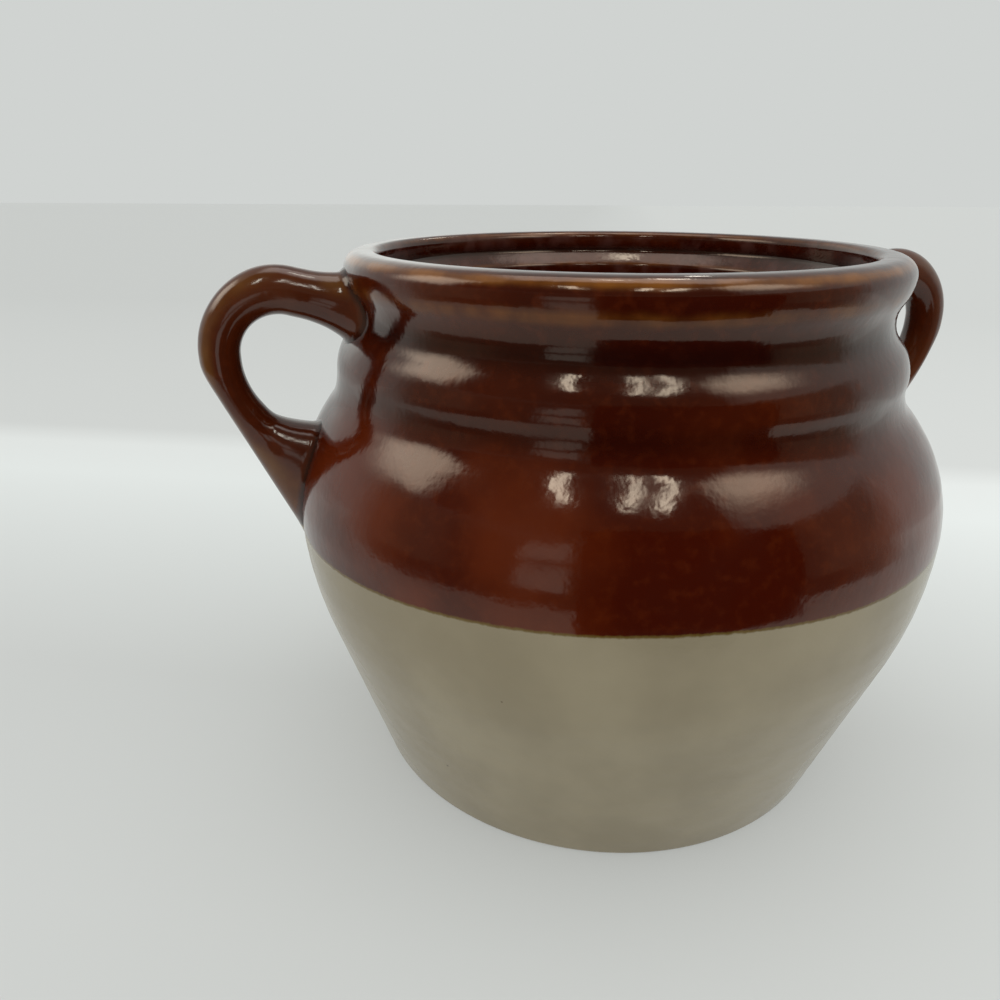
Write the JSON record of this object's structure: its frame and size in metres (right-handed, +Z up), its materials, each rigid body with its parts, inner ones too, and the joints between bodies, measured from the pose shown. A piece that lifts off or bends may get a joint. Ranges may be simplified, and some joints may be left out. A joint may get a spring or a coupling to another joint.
{
  "type": "two-handled stoneware bean pot",
  "caption": "Wide-mouthed stoneware bean pot with a swelling belly, beaded neck, rolled rim over a lid seat and two pulled loop handles.",
  "frame": {"origin": "centre of the foot's underside, on the table", "axes": "+Z up along the pot's axis, +X through the middle of one handle, +Y across the handles"},
  "size_m": [0.2318, 0.189, 0.152],
  "materials": {
    "pot_glaze": "glossy",
    "handle_glaze": "glossy"
  },
  "bodies": {
    "root": {"pot_body": "pot_glaze", "handle_right": "handle_glaze", "handle_left": "handle_glaze"}
  },
  "joints": []
}
